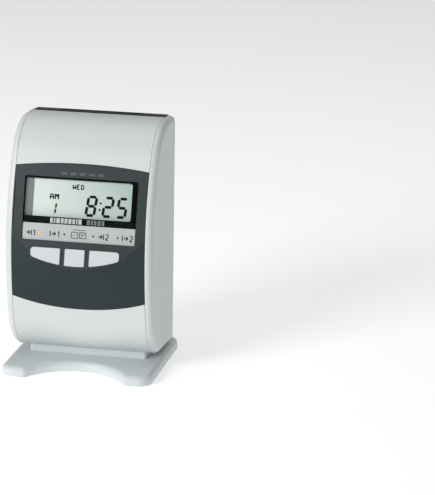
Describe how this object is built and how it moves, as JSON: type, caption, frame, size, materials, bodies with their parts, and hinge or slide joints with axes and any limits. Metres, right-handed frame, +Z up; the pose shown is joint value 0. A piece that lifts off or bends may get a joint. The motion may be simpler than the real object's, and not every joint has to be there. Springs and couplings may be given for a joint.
{
  "type": "punch time clock",
  "caption": "Tabletop time recorder with a curved front, sloping clock display, push buttons, rear top card slot and an arched stand.",
  "frame": {"origin": "centre of the footprint at the underside of the rubber feet", "axes": "+Z up, the display faces -Y, +X to the right of a person reading the display"},
  "size_m": [0.1536, 0.13, 0.2472],
  "materials": {
    "shell_grey": "fine satin moulded, pale cool grey",
    "stand_grey": "fine satin moulded, pale grey",
    "panel_slate": "satin dark slate",
    "trim_black": "satin black",
    "mask_black": "back-printed gloss black",
    "label_silver": "silver grey print",
    "window_clear": "clear acrylic",
    "lcd_green": "grey green liquid crystal",
    "holder_grey": "satin light grey",
    "button_white": "satin near white",
    "lamp_orange": "diffused lamp",
    "board_green": "solder resist",
    "component_black": "moulded packages",
    "guide_grey": "dark grey moulding",
    "steel_sheet": "zinc plated sheet",
    "steel_rod": "ground steel",
    "gear_white": "acetal",
    "rubber_black": "dull",
    "brass_bush": "sintered",
    "motor_case": "zinc plated can",
    "ribbon_ink": "inked nylon",
    "coil_copper": "enamelled winding",
    "iron_core": "laminated",
    "battery_wrap": "shrink sleeve"
  },
  "bodies": {
    "clock_body": {"stand": "stand_grey", "rubber_feet": "rubber_black", "stand_screws": "steel_rod", "rear_case": "shell_grey", "slot_trim": "trim_black", "hinge_pins": "steel_rod", "card_guide_rear": "guide_grey", "card_guide_front": "guide_grey", "card_sensor": "component_black", "platen": "rubber_black", "chassis": "steel_sheet", "chassis_screws": "steel_rod", "feed_bushes": "brass_bush", "idler_post": "steel_rod", "feed_motor": "motor_case", "carriage_rods": "steel_rod", "ink_ribbon": "ribbon_ink", "carriage_motor": "motor_case", "ribbon_cassette": "guide_grey", "cassette_lid": "guide_grey", "main_board": "board_green", "transformer_core": "iron_core", "transformer_coil": "coil_copper", "backup_battery": "battery_wrap", "buzzer": "component_black", "board_parts": "component_black", "power_inlet": "component_black"},
    "cover": {"front_cover": "shell_grey", "control_panel": "panel_slate", "display_window": "window_clear", "window_mask": "mask_black", "label_strip": "label_silver", "display_holder": "holder_grey", "display_glass": "lcd_green", "display_board": "board_green", "key_switches": "component_black", "status_lamps": "lamp_orange"},
    "left_button": {"button_left": "button_white"},
    "center_button": {"button_center": "button_white"},
    "right_button": {"button_right": "button_white"},
    "feed_roller": {"feed_shaft": "steel_rod", "feed_rollers": "rubber_black", "roller_gear": "gear_white"},
    "idler": {"idler_gear": "gear_white"},
    "motor_pinion": {"feed_pinion": "brass_bush"},
    "pinch_roller": {"pinch_shaft": "steel_rod", "pinch_rollers": "rubber_black"},
    "carriage": {"print_carriage": "gear_white", "print_head": "component_black"},
    "rack_pinion": {"carriage_pinion": "brass_bush"},
    "supply": {"supply_spool": "ribbon_ink"},
    "takeup": {"takeup_spool": "ribbon_ink"}
  },
  "joints": [
    {"name": "cover_hinge", "type": "hinge", "parent": "clock_body", "child": "cover", "pos_m": [0, 0.04267, 0.24177], "axis": [-1, 0, 0], "range_deg": [0, 75]},
    {"name": "press_left", "type": "slide", "parent": "cover", "child": "left_button", "axis": [0, 0.9552, -0.296], "range_m": [0, 0.0008], "stiffness_N_per_m": 250, "springref_m": -0.001},
    {"name": "press_center", "type": "slide", "parent": "cover", "child": "center_button", "axis": [0, 0.9552, -0.296], "range_m": [0, 0.0008], "stiffness_N_per_m": 250, "springref_m": -0.001},
    {"name": "press_right", "type": "slide", "parent": "cover", "child": "right_button", "axis": [0, 0.9552, -0.296], "range_m": [0, 0.0008], "stiffness_N_per_m": 250, "springref_m": -0.001},
    {"name": "feed_spin", "type": "hinge", "parent": "clock_body", "child": "feed_roller", "pos_m": [0, 0.04092, 0.18445], "axis": [1, 0, 0], "continuous": true},
    {"name": "idler_spin", "type": "hinge", "parent": "clock_body", "child": "idler", "pos_m": [0.0625, 0.01488, 0.18627], "axis": [1, 0, 0], "continuous": true},
    {"name": "motor_spin", "type": "hinge", "parent": "clock_body", "child": "motor_pinion", "pos_m": [0.0625, 0.01341, 0.16523], "axis": [1, 0, 0], "continuous": true},
    {"name": "pinch_spin", "type": "hinge", "parent": "clock_body", "child": "pinch_roller", "pos_m": [0, 0.05079, 0.18376], "axis": [1, 0, 0], "continuous": true},
    {"name": "carriage_slide", "type": "slide", "parent": "clock_body", "child": "carriage", "axis": [1, 0, 0], "range_m": [-0.024, 0.024]},
    {"name": "rack_pinion_spin", "type": "hinge", "parent": "clock_body", "child": "rack_pinion", "pos_m": [0, 0.00829, 0.13862], "axis": [0, 0.0698, 0.9976], "range_deg": [-276, 276]},
    {"name": "supply_spin", "type": "hinge", "parent": "clock_body", "child": "supply", "pos_m": [-0.03, 0.01716, 0.10492], "axis": [0, 0.0698, 0.9976], "continuous": true},
    {"name": "takeup_spin", "type": "hinge", "parent": "clock_body", "child": "takeup", "pos_m": [0.03, 0.01716, 0.10492], "axis": [0, 0.0698, 0.9976], "continuous": true}
  ],
  "couplings": [
    {"joint": "idler_spin", "follows": "feed_spin", "ratio": -0.73333},
    {"joint": "motor_spin", "follows": "feed_spin", "ratio": 1.8333},
    {"joint": "pinch_spin", "follows": "feed_spin", "ratio": -2.6923},
    {"joint": "rack_pinion_spin", "follows": "carriage_slide", "rad_per_m": -200},
    {"joint": "takeup_spin", "follows": "supply_spin", "ratio": 1.3846}
  ]
}
